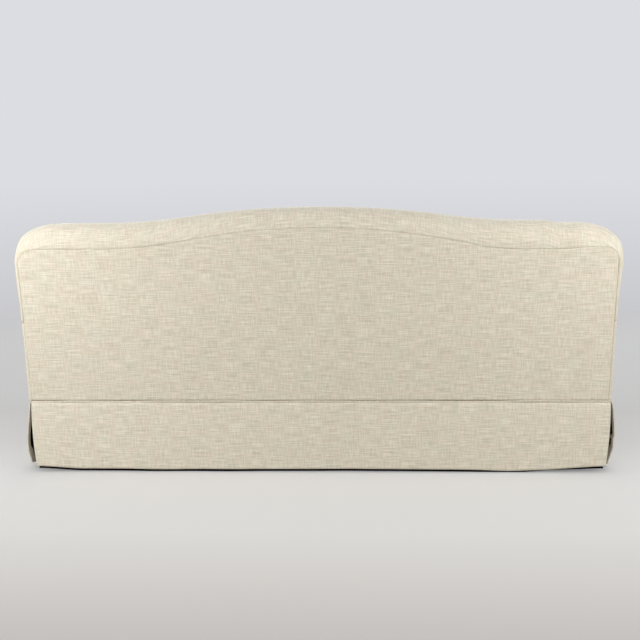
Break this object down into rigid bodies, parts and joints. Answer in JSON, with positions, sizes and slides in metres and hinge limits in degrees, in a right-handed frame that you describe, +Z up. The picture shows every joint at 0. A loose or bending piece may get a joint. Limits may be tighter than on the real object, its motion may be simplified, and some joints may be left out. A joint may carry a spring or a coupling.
{
  "type": "camelback sofa",
  "caption": "Upholstered sofa with a humped back, rolled arms, loose seat cushions and a floor-length skirt with corner kick pleats.",
  "frame": {"origin": "on the floor under the middle of the sofa's box", "axes": "+X along the sofa's length to the sitter's left, +Y to the back, +Z up; the front faces -Y"},
  "size_m": [2.16, 0.9399, 0.965],
  "materials": {
    "linen": "matte",
    "hardwood": "matte",
    "stained_wood": "satin",
    "spring_steel": "satin",
    "jute_webbing": "matte",
    "deck_cloth": "matte",
    "dust_cloth": "matte"
  },
  "bodies": {
    "frame_and_covers": {"front_border": "linen", "inside_back": "linen", "outside_back": "linen", "skirt_welt": "linen", "left_arm_pad": "linen", "left_outside_arm": "linen", "left_arm_facing": "linen", "right_arm_pad": "linen", "right_outside_arm": "linen", "right_arm_facing": "linen", "front_skirt": "linen", "back_skirt": "linen", "left_skirt": "linen", "right_skirt": "linen", "front_left_pleat_underlay": "linen", "front_right_pleat_underlay": "linen", "rear_left_pleat_underlay": "linen", "rear_right_pleat_underlay": "linen", "front_seat_rail": "hardwood", "rear_seat_rail": "hardwood", "left_seat_rail": "hardwood", "right_seat_rail": "hardwood", "left_stretcher": "hardwood", "right_stretcher": "hardwood", "front_left_corner_block": "hardwood", "front_right_corner_block": "hardwood", "rear_left_corner_block": "hardwood", "rear_right_corner_block": "hardwood", "left_back_post": "hardwood", "left_back_upright": "hardwood", "left_arm_post": "hardwood", "left_arm_rail": "hardwood", "left_arm_tack_rail": "hardwood", "right_back_post": "hardwood", "right_back_upright": "hardwood", "right_arm_post": "hardwood", "right_arm_rail": "hardwood", "right_arm_tack_rail": "hardwood", "camel_top_rail": "hardwood", "lower_back_rail": "hardwood", "front_left_foot": "stained_wood", "front_middle_foot": "stained_wood", "front_right_foot": "stained_wood", "rear_left_foot": "stained_wood", "rear_middle_foot": "stained_wood", "rear_right_foot": "stained_wood", "seat_spring_1": "spring_steel", "seat_spring_2": "spring_steel", "seat_spring_3": "spring_steel", "seat_spring_4": "spring_steel", "seat_spring_5": "spring_steel", "seat_spring_6": "spring_steel", "back_webbing_1": "jute_webbing", "back_webbing_2": "jute_webbing", "back_webbing_3": "jute_webbing", "seat_deck": "deck_cloth", "dust_cover": "dust_cloth"},
    "left_seat_cushion": {"left_seat_cushion": "linen"},
    "centre_seat_cushion": {"centre_seat_cushion": "linen"},
    "right_seat_cushion": {"right_seat_cushion": "linen"}
  },
  "joints": [
    {"name": "left_cushion_lift", "type": "slide", "parent": "frame_and_covers", "child": "left_seat_cushion", "axis": [0, 0, 1], "range_m": [0, 0.4]},
    {"name": "centre_cushion_lift", "type": "slide", "parent": "frame_and_covers", "child": "centre_seat_cushion", "axis": [0, 0, 1], "range_m": [0, 0.4]},
    {"name": "right_cushion_lift", "type": "slide", "parent": "frame_and_covers", "child": "right_seat_cushion", "axis": [0, 0, 1], "range_m": [0, 0.4]}
  ]
}
